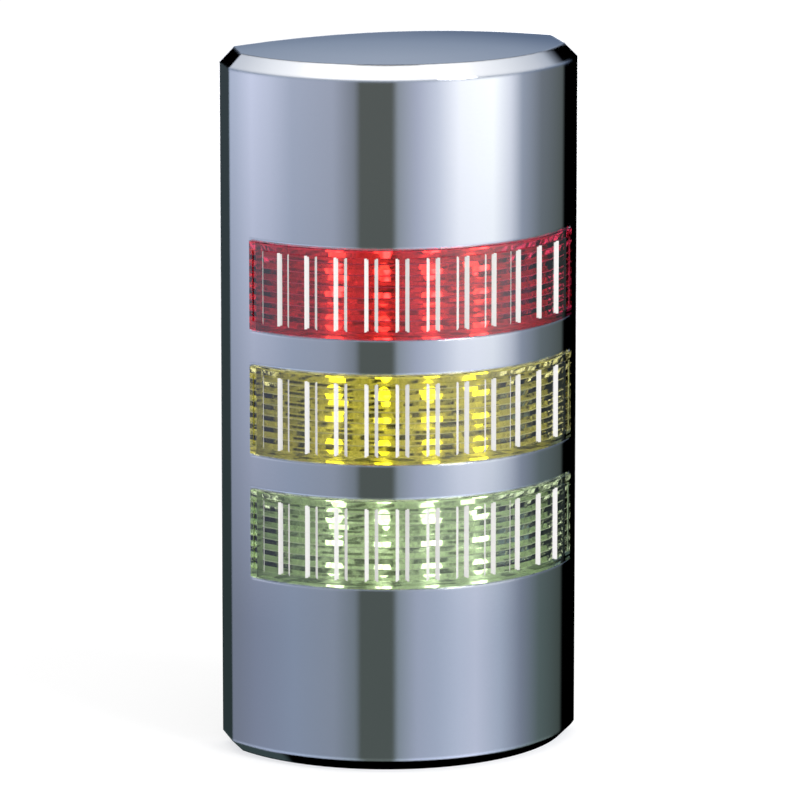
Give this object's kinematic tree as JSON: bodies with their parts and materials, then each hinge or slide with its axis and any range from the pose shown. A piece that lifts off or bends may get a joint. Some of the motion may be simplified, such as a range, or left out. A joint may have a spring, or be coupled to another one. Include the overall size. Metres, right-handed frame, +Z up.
{
  "type": "wall-mount stack light",
  "caption": "Slim wall-mounted stack light: half-round mirror-plated shell with a domed top and red, yellow and green ribbed lens bands.",
  "frame": {"origin": "centre of the wall face of the gasket, midway between the two threaded inserts", "axes": "+Y into the wall, front facing -Y, +Z up along the tower"},
  "size_m": [0.08, 0.0385, 0.1617],
  "materials": {
    "chrome_plating": "mirror-bright metal plating on moulded plastic",
    "lens_green": "clear moulded plastic tinted green",
    "lens_yellow": "clear moulded plastic tinted pale yellow",
    "lens_red": "clear moulded plastic tinted deep red",
    "seal_rubber": "black moulded rubber",
    "tray_silver": "bright metallised plastic",
    "board_mask": "green solder mask over glass-fibre board",
    "lamp_green": "clear cast resin",
    "lamp_yellow": "amber cast resin",
    "lamp_red": "pale amber cast resin",
    "base_plastic": "black moulded plastic with a fine grain",
    "insert_brass": "turned brass",
    "part_black": "black moulded component bodies",
    "capacitor_sleeve": "dark shrink sleeve",
    "terminal_plastic": "green moulded plastic",
    "screw_steel": "zinc-plated steel"
  },
  "bodies": {
    "root": {"front_cover": "chrome_plating", "lens_green": "lens_green", "lens_seal_green": "seal_rubber", "reflector_green": "tray_silver", "led_board_green": "board_mask", "led_lamps_green": "lamp_green", "lens_yellow": "lens_yellow", "lens_seal_yellow": "seal_rubber", "reflector_yellow": "tray_silver", "led_board_yellow": "board_mask", "led_lamps_yellow": "lamp_yellow", "lens_red": "lens_red", "lens_seal_red": "seal_rubber", "reflector_red": "tray_silver", "led_board_red": "board_mask", "led_lamps_red": "lamp_red", "rear_base": "base_plastic", "base_seal": "seal_rubber", "wall_gasket": "seal_rubber", "cable_grommet": "seal_rubber", "wall_inserts": "insert_brass", "driver_board": "board_mask", "board_headers": "part_black", "driver_chips": "part_black", "capacitors": "capacitor_sleeve", "terminal_block": "terminal_plastic", "terminal_screws": "screw_steel", "cover_screws": "screw_steel", "tray_screws": "screw_steel", "driver_board_screws": "screw_steel"}
  },
  "joints": []
}
